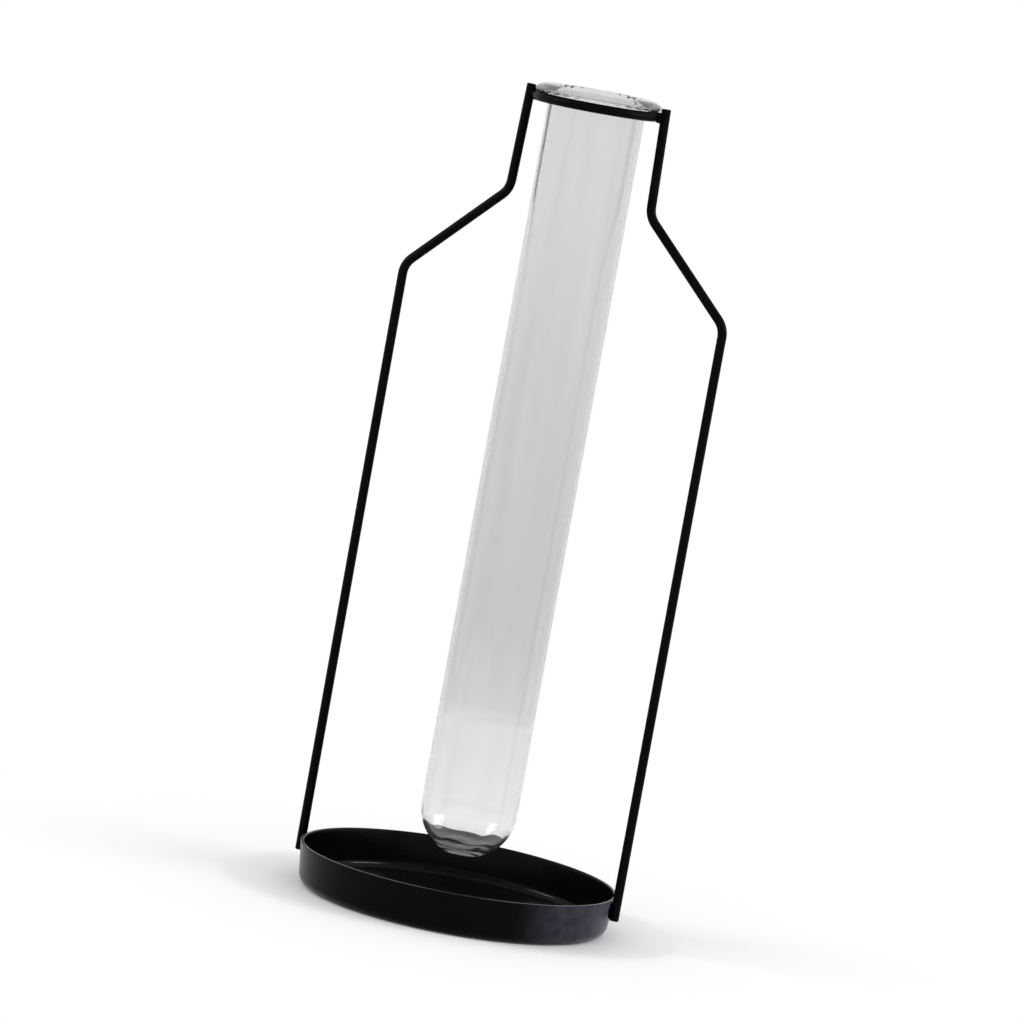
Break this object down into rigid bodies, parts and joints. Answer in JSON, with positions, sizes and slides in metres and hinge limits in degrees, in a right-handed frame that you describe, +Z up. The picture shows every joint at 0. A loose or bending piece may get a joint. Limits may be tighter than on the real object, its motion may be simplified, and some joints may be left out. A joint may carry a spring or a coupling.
{
  "type": "test tube vase",
  "caption": "Bud vase: a clear glass test tube hangs by its lip in a wire ring, carried by bent black wires that draw a bottle's outline on a shallow round tray.",
  "frame": {"origin": "centre of the tray's underside, where the vase stands", "axes": "+Z up along the tube, +X from the left wire to the right wire, +Y across the frame, away from the viewer"},
  "size_m": [0.0882, 0.083, 0.2137],
  "materials": {
    "black_steel": "satin black paint over sheet steel and steel wire",
    "clear_glass": "clear drawn glass, fire polished at the lip"
  },
  "bodies": {
    "frame": {"base_tray": "black_steel", "left_frame_wire": "black_steel", "right_frame_wire": "black_steel", "neck_ring": "black_steel", "left_rim_weld": "black_steel", "right_rim_weld": "black_steel", "left_ring_weld": "black_steel", "right_ring_weld": "black_steel"},
    "tube": {"test_tube": "clear_glass"}
  },
  "joints": [
    {"name": "tube_lift", "type": "slide", "parent": "frame", "child": "tube", "axis": [0, 0, 1], "range_m": [0, 0.205]}
  ]
}
